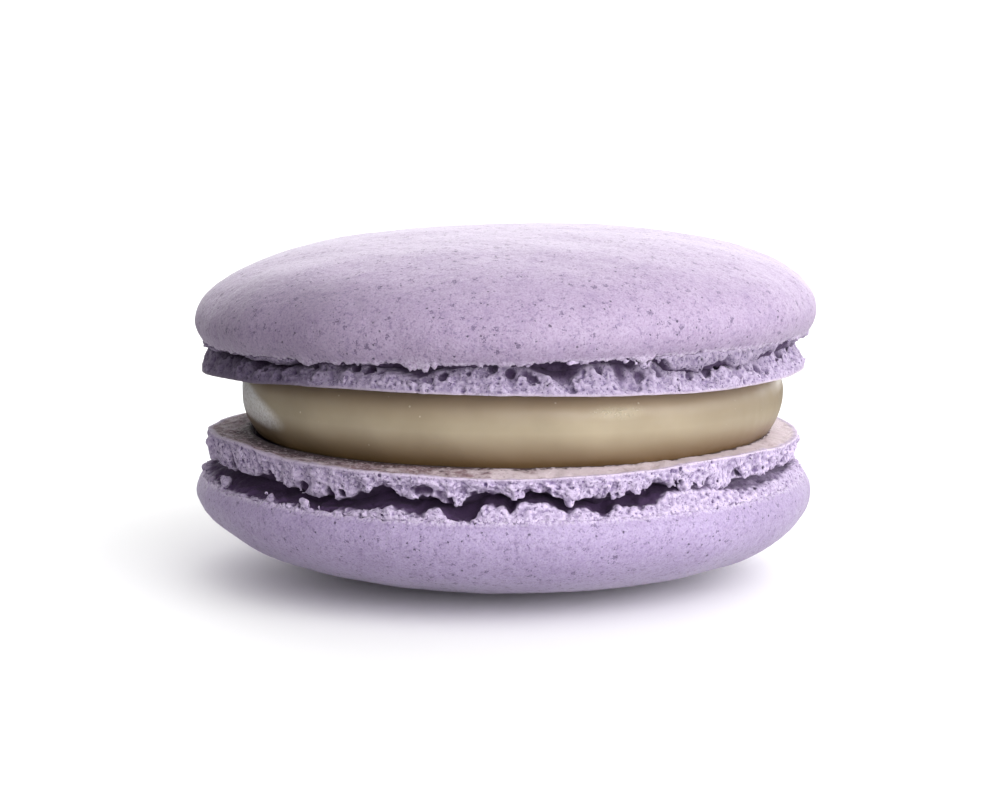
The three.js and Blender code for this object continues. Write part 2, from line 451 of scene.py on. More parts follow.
def cap_profile(shell):
    """(radius, height), and length above the rim, down the inside, over the rim and up to the middle."""
    rim_r, rim_h = shell.rim_radius, shell.rim_height
    points = [(0.0, rim_h + SKIN_INSIDE[0][1])]
    points += [(rim_r - inset, rim_h + up) for inset, up in SKIN_INSIDE]
    hidden = len(points)
    for part in np.linspace(0, 1, 12, endpoint=False):
        radius = rim_r + (shell.waist_radius - rim_r) * part * (2 - part)
        points.append((radius, rim_h + (shell.waist_height - rim_h) * part))
    for turn in np.linspace(0, math.pi / 2, 200):
        radius = shell.waist_radius * math.cos(turn) ** (2 / shell.fullness)
        points.append((radius, shell.waist_height + shell.dome_height * math.sin(turn)))
    length = np.append(0, np.cumsum(np.linalg.norm(np.diff(points, axis=0), axis=1)))
    return np.array(points), length - length[hidden]


def cap_rings(shell):
    """The rings' radii, heights, lengths above the rim and point counts, and the heights of the poles."""
    points, length = cap_profile(shell)
    stops = [*length[1:4], -0.08]
    here = 0.0
    while here < length[-1] - 0.6 * TOP_STEP:
        stops.append(here)
        here += cap_step(here)
    radius = np.interp(stops, length, points[:, 0])
    height = np.interp(stops, length, points[:, 1])
    count = np.maximum(6, np.round(TURN * radius / cap_step(np.array(stops)))).astype(int)
    return radius, height, np.array(stops), count, points[0, 1], points[-1, 1]


def cap_step(length):
    """How far apart points are at a length above the rim."""
    fine = RIM_STEP + (SKIN_STEP - RIM_STEP) * ease(length, 0.3, 1.0)
    return fine + (TOP_STEP - SKIN_STEP) * ease(length, 5.0, 9.0)


def weathered(shell, angle, radius, height, length, out):
    """The skin's radii and heights with soft bulges, and with its rim ragged and hanging down in flaps."""
    flow = polar(angle, radius, height) + shell.seed * 7.3
    bulge = 0.045 * SOFT.at(flow, 0.75) + 0.012 * LUMPY.at(flow, 0.3) + 0.004 * ROUGH.at(flow, 0.12)
    bulge = ease(length, -0.3, 0.0) * bulge
    above = np.maximum(length, 0)
    near_rim = np.exp(-above / 0.3) * ease(length, -0.5, -0.05)
    ragged = 0.07 * ROUGH.at(flow * (1, 1, 0), 0.1) + 0.045 * LUMPY.at(flow * (1, 1, 0), 0.25)
    drop = around(shell.rim_drop, angle)
    ragged *= 1 + 0.6 * drop
    flap = drop * np.exp(-above / 0.35) * ease(length, -0.5, -0.05)
    radius = radius + out[0] * bulge + 0.03 * near_rim * ROUGH.at(flow, 0.1)
    return radius, height + out[1] * bulge - near_rim * ragged - flap


def make_cap(shell, material):
    """The smooth domed skin, with its ragged rim, as one closed piece."""
    radius, height, length, count, inside_height, top_height = cap_rings(shell)
    angle = np.concatenate([np.arange(n) * TURN / n for n in count])
    ring = np.repeat(np.arange(len(count)), count)
    out = np.gradient(height, length)[ring], -np.gradient(radius, length)[ring]
    side = bent(shell, angle, *weathered(shell, angle, radius[ring], height[ring], length[ring], out))
    straight = np.concatenate([[(0, 0, inside_height)], side, [(0, 0, top_height)]])
    starts = np.append(1, 1 + np.cumsum(count))
    faces = [stitch(0, 1, 1, count[0])]
    for i in range(len(count) - 1):
        faces.append(stitch(starts[i], count[i], starts[i + 1], count[i + 1]))
    faces.append(stitch(starts[-2], count[-1], starts[-1], 1))
    places = shell.place(press_pits(straight, shell))
    piece = make_piece(f"{shell.name}_cap", places, np.concatenate(faces), material, [shell.node])
    rim = 1 - ease(length[ring], 0.1, 0.45 + around(shell.rim_drop, angle))
    # Painted shade: the dome is darkened by the angle's amount, in full up to 5 mm above the rim and gone
    # by 9 mm.
    tone = around(shell.cap_tone, angle) * ease(length[ring], 9.0, 5.0)
    add_values(piece, rim=np.pad(rim, 1), tone=np.pad(tone, 1))


def press_pits(places, shell):
    """Presses small round pits into the dome."""
    rng = np.random.default_rng(shell.seed)
    tree = KDTree(len(places))
    for i, place in enumerate(places):
        tree.insert(place, i)
    tree.balance()
    places = places.copy()
    dome = np.flatnonzero(places[:, 2] > shell.rim_height + 0.25)
    centre = np.array((0, 0, shell.waist_height - 6))
    for index in rng.choice(dome, PITS, replace=False):
        reach, depth = rng.uniform(*PIT_REACH), rng.uniform(*PIT_DEPTH)
        for _, i, distance in tree.find_range(Vector(places[index]), reach):
            inward = centre - places[i]
            places[i] += inward / np.linalg.norm(inward) * depth * (1 - (distance / reach) ** 2) ** 2
    return places


# ---- Crumb: the foot, and the torn edge of crumb under the skin's rim ----

FINE = 0.113
COARSE = 0.28
FINE_ANGLE = math.radians(105)
FINE_RADIUS = 20.35
CRUMB_INNER = 18.2
CRUMB_SIDE = 21.4
CRUMB_OUTER = 22.7
BASE_EDGE = (20.9, 21.3)
JOIN = 0.15


def crumb_angles():
    """Angles round a shell, close together in front and wider apart behind."""
    front, behind = FINE_ANGLE, TURN - FINE_ANGLE
    near = np.arange(-front, front, FINE / CRUMB_SIDE)
    far = np.linspace(front, behind, round((behind - front) * CRUMB_SIDE / (2 * FINE)), endpoint=False)
    return np.concatenate([near, far])


class Crumb:
    """A ring of crumb as a field over angle, radius and height, which is below 0 where there is crumb.

    Each kind of crumb makes its own field. wall is the radius of its outer side, free is 1 where it may be
    uneven and less where it has to be flat, tucked chooses a height for a grain that has no room, and close
    gives the faces on its hidden inside.
    """

    def __init__(self, shell, seed, low, high):
        self.shell = shell
        self.rng = np.random.default_rng(shell.seed + seed)
        self.draw = self.rng.uniform
        self.shift = shell.seed * 2.3 + seed
        self.angle = crumb_angles()
        coarse = np.arange(CRUMB_INNER, FINE_RADIUS, COARSE)
        self.radius = np.append(coarse, np.arange(FINE_RADIUS, CRUMB_OUTER, FINE))
        self.height = np.arange(low, high, FINE)

    def ragged(self, stops, size):
        """A height over angle and radius that follows stops, with lumps of crumb size mm apart or less."""
        places = polar(self.angle[:, None], self.radius[None, :], 0.0) + self.shift
        lumps = 0.08 * LUMPY.at(places, size / 4) + 0.03 * ROUGH.at(places, size / 7)
        return around(stops, self.angle)[:, None] + lumps

    def lobes(self, wave):
        """Waves of the side over angle."""
        places = polar(self.angle, self.shell.foot_radius, 0.0) + self.shift
        return (wave * LUMPY.at(places, 0.27))[:, None, None]

    def root(self):
        """How far in the crack reaches, over angle."""
        return around(self.shell.root, self.angle)[:, None]

    def opening(self):
        """How open the crack is over angle and radius, from 0 at its root to 1."""
        root = self.root()
        return np.sqrt(np.clip((self.radius - root) / (self.shell.rim_radius - root), 0, 1))

    def joined(self):
        """1 at radii inside the crack's root, where foot and rim crumb are one."""
        return 1 - ease(self.radius, self.root() - 0.3, self.root())

    def crack_middle(self):
        """The height of the crack's middle over angle and radius. It is level at the ring's inside."""
        middle = 0.5 * (around(self.shell.foot_top, self.angle) + around(self.shell.crumb_low, self.angle))
        uneven = ease(self.radius, CRUMB_INNER + 0.3, CRUMB_INNER + 1.0)
        return middle.mean() + (middle - middle.mean())[:, None] * uneven

    def roughen(self, lumps, grain, holes):
        """Rounded lumps, grain and holes all over, but not where the ring is closed behind."""
        i, j, k = np.argwhere(np.abs(self.field) < 0.6).T
        places = polar(self.angle[i], self.radius[j], self.height[k]) + self.shift
        radius, height = self.radius[j], self.height[k]
        fine = ease(radius, 20.3, 20.9)
        rounded = 0.6 - 0.7 * fine * np.abs(LUMPY.at(places, 0.13))
        uneven = lumps * (rounded + 1.1 * LUMPY.at(places + 31, 0.28))
        uneven += fine * grain * ROUGH.at(places, 0.095)
        uneven += fine * holes * ease(ROUGH.at(places + 17, 0.13), 0.9, 2.0)
        inside = ease(radius, CRUMB_INNER + 0.2, CRUMB_INNER + 0.8)
        self.field[i, j, k] += inside * self.free(radius, height) * uneven

    def add_grains(self, count, low_at, high_at):
        """Small rounded grains on the outer side, between two heights that depend on the angle."""
        for angle in self.draw(0, TURN, count):
            size = self.draw(0.1, 0.24)
            low, high = low_at(angle) + 0.8 * size, high_at(angle) - 0.8 * size
            height = self.draw(low, high) if low < high else self.tucked(low, high)
            radius = self.wall(angle, height) - size * self.draw(0.6, 0.9)
            self.ball(angle, radius, height, size, blend=0.03)

    def add_pores(self, count, growth, span_at, depth):
        """Small round pores, between heights that depend on the angle and two distances from the wall."""
        for _ in range(count):
            angle = self.draw(0, TURN)
            size = 0.07 + growth * self.draw() ** 3
            height = self.draw(*span_at(angle))
            radius = self.wall(angle, height) + depth[0] + (depth[1] - depth[0]) * self.draw()
            self.ball(angle, radius, height, size, carve=True, blend=0.03)

    def ball(self, angle, radius, height, size, carve=False, blend=0.06, stretch=1.0):
        """Adds a ball of crumb, or carves one out. stretch draws it out along the radius."""
        reach = size + 0.3
        turn = np.mod(self.angle - angle + math.pi, TURN) - math.pi
        i = np.flatnonzero(np.abs(turn) * radius < reach)
        j = np.flatnonzero(np.abs(self.radius - radius) < reach * stretch)
        k = np.flatnonzero(np.abs(self.height - height) < reach)
        if not len(j) or not len(k):
            return
        across = turn[i, None, None] * radius
        along = (self.radius[None, j, None] - radius) / stretch
        up = self.height[None, None, k] - height
        other = np.sqrt(across**2 + along**2 + up**2) - size
        window = np.ix_(i, j, k)
        sign = -1 if carve else 1
        here = self.field[window] * sign
        mixed = np.clip(0.5 + 0.5 * (here - other) / blend, 0, 1)
        self.field[window] = sign * (here * (1 - mixed) + other * mixed - blend * mixed * (1 - mixed))

    def mesh(self):
        """Angle, radius and height of each point, and quads."""
        steps, quads, cells = surface_net(self.field)
        kept = largest_part(len(steps), quads)
        grids = (np.append(self.angle, self.angle[0] + TURN), self.radius, self.height)
        places = [np.interp(steps[:, i], np.arange(len(grid)), grid) for i, grid in enumerate(grids)]
        quads = np.concatenate([quads[kept[quads[:, 0]]], *self.close(places, cells, kept)])
        used = np.zeros(len(places[0]), bool)
        used[quads] = True
        renumber = np.cumsum(used) - 1
        return [values[used] for values in places], renumber[quads]

    def ring(self, cells, kept, choose):
        """The points, one for each angle, among those that choose picks."""
        found = np.flatnonzero(choose & kept)
        order = found[np.argsort(cells[found, 0])]
        if not np.array_equal(cells[order, 0], np.arange(len(self.angle))):
            raise ValueError(f"{len(order)} points close a ring of {len(self.angle)}")
        return order


class Foot(Crumb):
    """The foot: a flat base with a thin edge lightened by a painted highlight, a lumpy side, and arches
    along its top.
    """

    tucked = min

    def __init__(self, shell):
        super().__init__(shell, 100, -0.3, 2.9)
        middle = self.crack_middle()
        top = middle + (self.ragged(shell.foot_top, 1.1) - middle) * self.opening() + JOIN * self.joined()
        height = self.height[None, None, :]
        lobes = self.lobes(0.13) * ease(height, 0.1, 0.7)
        side = self.radius[None, :, None] - lobes - self.wall(self.angle[:, None, None], height)
        self.field = np.maximum(smooth_max(side, height - top[:, :, None], 0.3), -height).astype(np.float32)

    def free(self, radius, height):
        base = 0.4 - 0.3 * ease(radius, *BASE_EDGE)
        return base + (1 - base) * ease(height, 0.1, 0.45)

    def wall(self, angle, height):
        shell = self.shell
        lean = shell.foot_lean * ease(height, *shell.lean_from) - 0.06 * (1 - ease(height, 0.06, 0.2))
        return shell.foot_radius + shell.foot_shift * np.sin(angle) - lean

    def top_at(self, angle):
        return float(around(self.shell.foot_top, angle))

    def shape_edge(self):
        """Carves the named bubbles into the top edge and hangs the named nubs on it."""
        for degrees, height, size in self.shell.foot_bubbles:
            angle = math.radians(degrees)
            self.ball(angle, self.wall(angle, height) - 0.05, height, size, carve=True, stretch=0.9)
        for degrees, height, size in self.shell.foot_nubs:
            angle = math.radians(degrees)
            self.ball(angle, self.wall(angle, height) - 0.9 * size, height, size, blend=0.15)

    def burst_bubbles(self, count=96):
        """Carves arches into the top edge, with cusps of crumb left between them."""
        for start in np.arange(count) * TURN / count:
            angle = start + self.draw(-0.45, 0.45) * TURN / count
            size = self.draw(0.16, 0.45)
            height = self.top_at(angle) + self.draw(-0.3, 0.15)
            radius = self.wall(angle, height) + self.draw(-0.3, 0.0)
            self.ball(angle, radius, height, size, carve=True, stretch=self.draw(0.8, 1.2))

    def pore_span(self, angle):
        return 0.2, self.top_at(angle) + 0.1

    def close(self, places, cells, kept):
        inner = cells[:, 1] == 0
        low = self.ring(cells, kept, inner & (places[2] < 0.5))
        high = self.ring(cells, kept, inner & (places[2] > 0.5))
        return [ring_quads(low, high)]


class RimCrumb(Crumb):
    """Crumb that clings under the skin's rim, over the crack."""

    tucked = max

    def __init__(self, shell):
        super().__init__(shell, 200, 1.0, shell.rim_height + 0.95)
        middle = self.crack_middle()
        low = middle + (self.ragged(shell.crumb_low, 0.9) - middle) * self.opening() - JOIN * self.joined()
        height = self.height[None, None, :]
        side = self.radius[None, :, None] - self.wall(self.angle[:, None, None], height)
        self.field = smooth_max(side, low[:, :, None] - height, 0.2).astype(np.float32)

    def free(self, radius, height):
        return 1 - ease(height, self.height[-1] - 0.6, self.height[-1] - 0.3)

    def wall(self, angle, height):
        rim = self.shell.rim_height
        lean = around(self.shell.crumb_lean, angle) * ease(height, rim, rim - 0.8)
        return self.shell.rim_radius + 0.03 - 0.36 * ease(height, rim + 0.02, rim + 0.25) - lean

    def low_at(self, angle):
        return float(around(self.shell.crumb_low, angle))

    def shape_edge(self):
        """Sets the named lumps along the crack, each a ball with smaller ones round it."""
        for degrees, height, size in self.shell.crumb_nubs:
            angle = math.radians(degrees)
            radius = self.wall(angle, height) - 0.65 * size
            self.ball(angle, radius, height, 0.75 * size, blend=0.08)
            for turn in self.draw(0, TURN, 12):
                away = size * self.draw(0.4, 0.9)
                across, up = away * math.cos(turn), away * math.sin(turn)
                out = size * self.draw(0, 0.4)
                small = size * self.draw(0.2, 0.5)
                self.ball(angle + across / radius, radius + out, height + up, small, blend=0.03)

    def add_lumps(self, count, size_low, size_high):
        """Rounded crumbs along the crack."""
        for _ in range(count):
            angle = self.draw(0, TURN)
            size = self.draw(size_low, size_high)
            height = self.low_at(angle) + size * self.draw(0.5, 1.2)
            radius = self.wall(angle, height) - self.draw(0.15, 1.0)
            self.ball(angle, radius, height, size, blend=0.04)

    def add_teeth(self, count=260):
        """Tiny grains that hang just under the skin's rim, in clusters."""
        spots = self.draw(0, TURN, count // 4)
        for angle in self.rng.choice(spots, count) + self.rng.normal(0, 0.02, count):
            size = self.draw(0.07, 0.14)
            height = self.shell.rim_height - size * self.draw(0.0, 1.2)
            radius = self.shell.rim_radius - size * self.draw(1.3, 2.6)
            self.ball(angle, radius, height, size, blend=0.03)

    def pore_span(self, angle):
        low = self.low_at(angle)
        return low - 0.1, max(low, self.shell.rim_height) + 0.05

    def close(self, places, cells, kept):
        inner = self.ring(cells, kept, cells[:, 1] == 0)
        upper = self.ring(cells, kept, cells[:, 2] == len(self.height) - 2)
        corner = len(places[0]) + np.arange(len(self.angle))
        places[0] = np.concatenate([places[0], places[0][inner]])
        places[1] = np.append(places[1], places[1][inner])
        places[2] = np.append(places[2], places[2][upper])
        return [ring_quads(inner, corner), ring_quads(corner, upper)]


def smooth_max(one, two, blend):
    """The larger of two fields, rounded where they meet."""
    mixed = np.clip(0.5 + 0.5 * (one - two) / blend, 0, 1)
    return two + (one - two) * mixed + blend * mixed * (1 - mixed)


def ring_quads(low, high):
    return np.stack([low, np.roll(low, -1), np.roll(high, -1), high], axis=1)


def add_crumb(crumb, name, tone, material):
    """Makes the piece, with what its material needs to know of its hollows, and the amounts of its painted
    shade, painted highlight, wear and stain.
    """
    shell = crumb.shell
    (angle, radius, height), quads = crumb.mesh()
    places = shell.place(bent(shell, angle, radius, height))
    quads = outward(places, quads)
    piece = make_piece(f"{shell.name}_{name}", places, quads, material, [shell.node])
    inset = crumb.wall(angle, height) - radius
    # Painted shade: the deeper inside the crack a point lies, the darker it is painted.
    depth = ease(height, 0.5, 1.2) * ease(inset, 0.17, 0.6)
    base = (1 - ease(height, 0.14, 0.26)) * (1 - ease(radius, 20.9, 21.25))
    from_ganache = np.hypot(places[:, 0] - FILLING_SHIFT, places[:, 1]) - STAIN_FROM
    add_values(
        piece,
        # Painted shade in the crack, by angle and depth.
        depth=around(shell.crack_tone, angle) * depth,
        # Painted shade: how much the foot or rim crumb is darkened at each angle.
        tone=around(tone, angle),
        # Painted shade: how far each point lies below its neighbours, which darkens the pits.
        pit=hollowness(places, quads),
        base=base,
        # Wear and painted shade: streaks and flecks darken the base towards the left, fading out to the
        # right.
        worn=base * (1 - ease(places[:, 0], -14, 14)),
        # Painted highlight along the base's thin outer edge.
        base_edge=shell.edge_tone * (1 - ease(height, 0.04, 0.2)) * ease(radius, *BASE_EDGE),
        # Real stain and painted shadow, widest at the left where the ganache shades the base.
        stain=base * (1 - np.clip(from_ganache / around(STAIN_REACH, angle), 0, 1)),
    )


def make_crumb(shell, material):
    foot = Foot(shell)
    foot.burst_bubbles()
    foot.shape_edge()
    foot.add_grains(300, lambda angle: 0.25, foot.top_at)
    foot.roughen(0.09, 0.04, 0.14)
    foot.add_pores(700, 0.13, foot.pore_span, (-0.15, 0.03))
    add_crumb(foot, "foot", shell.foot_tone, material)
    rim = RimCrumb(shell)
    rim.add_lumps(shell.crumb_lumps, 0.14, 0.3)
    rim.shape_edge()
    rim.add_grains(700, rim.low_at, lambda angle: max(shell.rim_height, rim.low_at(angle)))
    rim.add_teeth()
    rim.roughen(0.07, 0.035, 0.1)
    rim.add_pores(500, 0.12, rim.pore_span, (0.0, -0.6))
    add_crumb(rim, "rim_crumb", shell.crumb_tone, material)


# ---- Ganache ----


GANACHE_RADIUS = 19.6
GANACHE_WIDEST = 2.7
GANACHE_LOW = -0.15
GANACHE_HIGH = FILLING_THICKNESS + 2 * SEAT_GAP + 0.1


def make_ganache(material, rows=34, steps=613):
    """The soft round between the shells, which bulges most above its middle."""
    angle = (np.arange(steps) * TURN / steps)[None, :]
    level = np.linspace(GANACHE_LOW, GANACHE_HIGH, rows)[:, None]
    below = np.clip((GANACHE_WIDEST - level) / GANACHE_WIDEST, 0, 1.1)
    above = np.clip((level - GANACHE_WIDEST) / (GANACHE_HIGH - GANACHE_WIDEST), 0, 1)
    radius = GANACHE_RADIUS - 1.0 * below**2.2 - 1.2 * above**2.5
    places = polar(angle, radius, level)
    radius = radius + 0.05 * SOFT.at(places, 0.6) + 0.012 * LUMPY.at(places, 0.35)
    places = polar(angle, radius, level)
    places[..., 0] += FILLING_SHIFT
    share = level / FILLING_THICKNESS
    places[..., 2] = base_height + level + np.clip(share, 0, None) * upper_tilt(places)
    flat = places.reshape(-1, 3)
    poles = [(FILLING_SHIFT, 0, base_height + GANACHE_LOW), (FILLING_SHIFT, 0, flat[-steps:, 2].mean())]
    bottom, top = len(flat), len(flat) + 1
    last = (rows - 1) * steps
    faces = [stitch(row, steps, row + steps, steps) for row in range(0, last, steps)]
    faces += [stitch(bottom, 1, 0, steps), stitch(last, steps, top, 1)]
    flat = np.concatenate([flat, poles])
    piece = make_piece("ganache", flat, np.concatenate(faces), material, ["filling"])
    share, degrees = (np.append(values, (0, 0)) for values in np.broadcast_arrays(share, np.degrees(angle)))
    add_values(
        piece,
        level=share,
        dried=blob(share, degrees, (0.6, 281), (0.3, 24), (0.7, 1.06), -0.0107),
        # Painted shade on the upper right, under the upper shell.
        dull=0.55 * ease(np.abs(np.mod(degrees, 360) - 75), 60, 20) * ease(share, 0.2, 0.6),
        glints=blob(share, degrees, (0.75, 21), (0.13, 8), (0.1, 1.0)),
    )


def upper_tilt(places):
    """How much higher the upper shell's base is over each place than in its middle."""
    normal = UPPER_TURN @ (0, 0, 1)
    return -(places[..., 0] * normal[0] + places[..., 1] * normal[1]) / normal[2]


def blob(share, degrees, middle, reach, border, slant=0.0):
    """1 in the middle of an oval patch, falling to 0 over its border. slant raises it with every degree."""
    turn = np.mod(degrees - middle[1] + 180, 360) - 180
    off = share - middle[0] - slant * turn
    return 1 - ease(np.hypot(off / reach[0], turn / reach[1]), *border)


# ---- Materials ----


class Nodes:
    """Shorthand for building a tree of nodes."""

    def __init__(self, tree, coordinates):
        self.tree = tree
        self.place = self.add("ShaderNodeTexCoord").outputs[coordinates]

    def add(self, kind, inputs=(), **settings):
        node = self.tree.nodes.new(kind)
        for key, value in settings.items():
            setattr(node, key, value)
        return self.fill(node, dict(inputs))

    def fill(self, node, inputs):
        """Gives a node's inputs, by name or number, their values or links."""
        for key, value in inputs.items():
            if isinstance(value, bpy.types.NodeSocket):
                self.tree.links.new(value, node.inputs[key])
            else:
                node.inputs[key].default_value = value
        return node

    def maths(self, operation, *values, kind="ShaderNodeMath", output=0):
        return self.add(kind, enumerate(values), operation=operation).outputs[output]

    def vector_maths(self, operation, *values, output=0):
        return self.maths(operation, *values, kind="ShaderNodeVectorMath", output=output)

    def ramp(self, value, low, high, out_low=0.0, out_high=1.0, **settings):
        """value from low to high becomes out_low to out_high, and is held there."""
        inputs = enumerate((value, low, high, out_low, out_high))
        return self.add("ShaderNodeMapRange", inputs, **settings).outputs["Result"]


class Look(Nodes):
    """One material, placed by the object's own coordinates."""

    def __init__(self, name):
        self.material = bpy.data.materials.new(name)
        self.material.use_nodes = True
        super().__init__(self.material.node_tree, "Object")
        self.shader = self.tree.nodes["Principled BSDF"]

    def value(self, name):
        """A number that add_values gave to each point."""
        return self.add("ShaderNodeAttribute", attribute_name=name).outputs["Fac"]

    def noise(self, size, detail=3.0, rough=0.5, output="Fac"):
        """Noise whose lumps are about size mm wide."""
        inputs = {"Vector": self.place, "Scale": 1 / (size * MM), "Detail": detail, "Roughness": rough}
        return self.add("ShaderNodeTexNoise", inputs).outputs[output]

    def dots(self, spacing, small, large, share, shake=0.0):
        """Round dots, 1 inside, in a share of a grid's cells, spacing mm wide. shake makes them uneven."""
        place = self.place
        if shake:
            uneven = self.noise(0.6 * large, 2, output="Color")
            place = self.vector_maths("MULTIPLY_ADD", uneven, (shake * MM,) * 3, place)
        cells = self.add("ShaderNodeTexVoronoi", {"Vector": place, "Scale": 1 / (spacing * MM)})
        chance = self.add("ShaderNodeSeparateColor", {"Color": cells.outputs["Color"]}).outputs["Red"]
        size = self.ramp(chance, 1 - share, 1.0, small / spacing, large / spacing)
        edge = self.maths("SUBTRACT", size, cells.outputs["Distance"])
        dot = self.ramp(edge, 0.0, 0.3 * small / spacing)
        return self.maths("MULTIPLY", dot, self.maths("GREATER_THAN", chance, 1 - share))

    def mix(self, part, one, two):
        """Colour one where part is 0 and colour two where it's 1."""
        return self.add("ShaderNodeMix", {0: part, 6: one, 7: two}, data_type="RGBA").outputs[2]

    def tint(self, tint, mask, strength=None):
        """Lays a tint over the colour so far where a mask is 1, with some strength."""
        if strength is not None:
            mask = self.maths("MULTIPLY", mask, strength)
        self.colour = self.mix(mask, self.colour, tint)

    def mottle(self, tint, noise, span, strength, more=None):
        """Lays a tint over the colour so far where noise, with more added, nears the end of its span."""
        noise = self.noise(*noise)
        if more:
            noise = self.maths("ADD", noise, more)
        self.tint(tint, self.ramp(noise, *span, 0, strength))

    def relief(self, *bumps):
        """Gives the surface bumps, each a height and how many mm a height of 1 stands out."""
        normal = {}
        for height, depth in bumps:
            bump = self.add("ShaderNodeBump", {"Height": height, "Distance": depth * MM} | normal)
            normal = {"Normal": bump.outputs["Normal"]}
        self.fill(self.shader, normal)

    def finish(self, sockets):
        """Gives the shader the colour and the values of its other sockets, and returns the material."""
        self.fill(self.shader, {"Base Color": self.colour} | sockets)
        return self.material


def rgb(*levels):
    """A colour given as it looks on a screen, in levels from 11 to 255."""
    return (*(((level / 255 + 0.055) / 1.055) ** 2.4 for level in levels), 1.0)


def grey(value):
    return (value, value, value, 1)


def powder(roughness, specular, sheen):
    """What baked skin and crumb share: matte, a little translucent, and dusty at a glancing look."""
    return {
        "Roughness": roughness,
        "Specular IOR Level": specular,
        "Sheen Weight": sheen,
        "Sheen Roughness": 0.35,
        "Subsurface Weight": 0.2,
        "Subsurface Radius": (1.0, 0.8, 1.0),
        "Subsurface Scale": 0.3 * MM,
    }


def skin_material(name, first, second):
    """Baked skin in lilac: mottled and grainy, with darker flecks and pinholes, and a pale worn rim."""
    dark, darker = rgb(118, 100, 134), rgb(92, 76, 108)
    m = Look(name)
    m.colour = m.mix(m.ramp(m.noise(3.0, 3), 0.35, 0.65), first, second)
    m.mottle(rgb(190, 177, 201), (0.16, 2, 0.7), (0.35, 0.65), 0.5)
    m.mottle(dark, (0.13, 1, 0.5), (0.56, 0.66), 0.4)
    m.mottle(rgb(140, 120, 158), (0.9, 3, 0.6), (0.5, 0.7), 0.3)
    m.mottle(dark, (0.34, 4, 0.7), (0.55, 0.64), 0.55)
    m.tint(darker, m.dots(0.72, 0.05, 0.22, 0.6, shake=0.8), 0.7)
    m.tint(darker, m.dots(0.32, 0.035, 0.075, 0.45, shake=0.15), 0.55)
    pinholes = m.dots(0.45, 0.04, 0.1, 0.42, shake=0.2)
    m.tint(rgb(66, 52, 80), pinholes, 0.8)
    m.tint(rgb(200, 187, 209), m.value("rim"), m.ramp(m.noise(0.16, 3, 0.7), 0.4, 0.6))
    # Painted shade over the skin, as much as the cap's painted shade value.
    m.tint(rgb(70, 58, 78), m.value("tone"))
    holes = m.maths("SUBTRACT", 1.0, pinholes)
    m.relief((m.noise(0.1, 2, 0.7), 0.022), (m.noise(0.38, 2), 0.04), (holes, 0.04))
    return m.finish(powder(0.6, 0.4, 0.18))


def base_colour(m):
    """The foot's flat base: greyer than its side, with streaks and flecks of wear and painted shade towards
    the left.
    """
    worn = m.value("worn")
    m.colour = rgb(208, 192, 199)
    # Streaks and flecks of wear and painted shade, strongest at the left.
    m.mottle(rgb(140, 114, 120), (1.6, 5, 0.75), (0.42, 0.6), 1, m.ramp(worn, 0, 1, -0.14, 0.08))
    m.mottle(rgb(84, 64, 70), (0.6, 4, 0.8), (0.55, 0.66), 0.8, m.ramp(worn, 0, 1, -0.1, 0.06))
    m.mottle(rgb(218, 207, 213), (0.25, 2, 0.7), (0.45, 0.36), 0.5)
    return m.colour


def crumb_material():
    """Porous crumb: pale on its grains, with painted shade making it violet in its pits and nearly black
    down in the crack, and stained and darkened by painted shadow round the ganache."""
    m = Look("crumb")
    base = base_colour(m)
    # Painted shade: violet in the hollows, pale on the grains that stand out.
    m.colour = m.mix(m.ramp(m.value("pit"), -0.015, 0.04), rgb(206, 191, 218), rgb(122, 104, 145))
    m.mottle(rgb(122, 104, 142), (0.45, 3, 0.65), (0.45, 0.62), 0.4)
    patchy = m.ramp(m.noise(1.2, 2), 0.4, 0.6, -0.02, 0.02)
    m.mottle(rgb(84, 68, 104), (0.18, 1, 0.6), (0.61, 0.67), 0.7, patchy)
    m.mottle(rgb(220, 209, 229), (0.14, 1, 0.6), (0.42, 0.34), 0.55)
    m.tint(base, m.value("base"))
    # Painted highlight along the base's thin outer edge.
    m.tint(rgb(216, 201, 214), m.value("base_edge"), m.ramp(m.noise(0.5, 3, 0.7), 0.3, 0.55, 0.35, 0.85))
    # Brown stain round the ganache, with painted shadow where the ganache shades the base.
    fray = m.maths("ADD", m.value("stain"), m.ramp(m.noise(0.5, 4, 0.8), 0.3, 0.7, -0.5, 0.5))
    m.tint(rgb(64, 45, 44), m.ramp(fray, 0.45, 0.75, 0, 0.9))
    # Painted shade on the shaded sides of the foot and the rim crumb.
    m.tint(rgb(56, 45, 68), m.value("tone"))
    # Painted shade, nearly black, down in the crack.
    m.tint(rgb(72, 54, 84), m.value("depth"))
    m.relief((m.noise(0.1, 3, 0.7), 0.05), (m.noise(0.25, 3, 0.6), 0.07))
    return m.finish(powder(0.75, 0.12, 0.03))


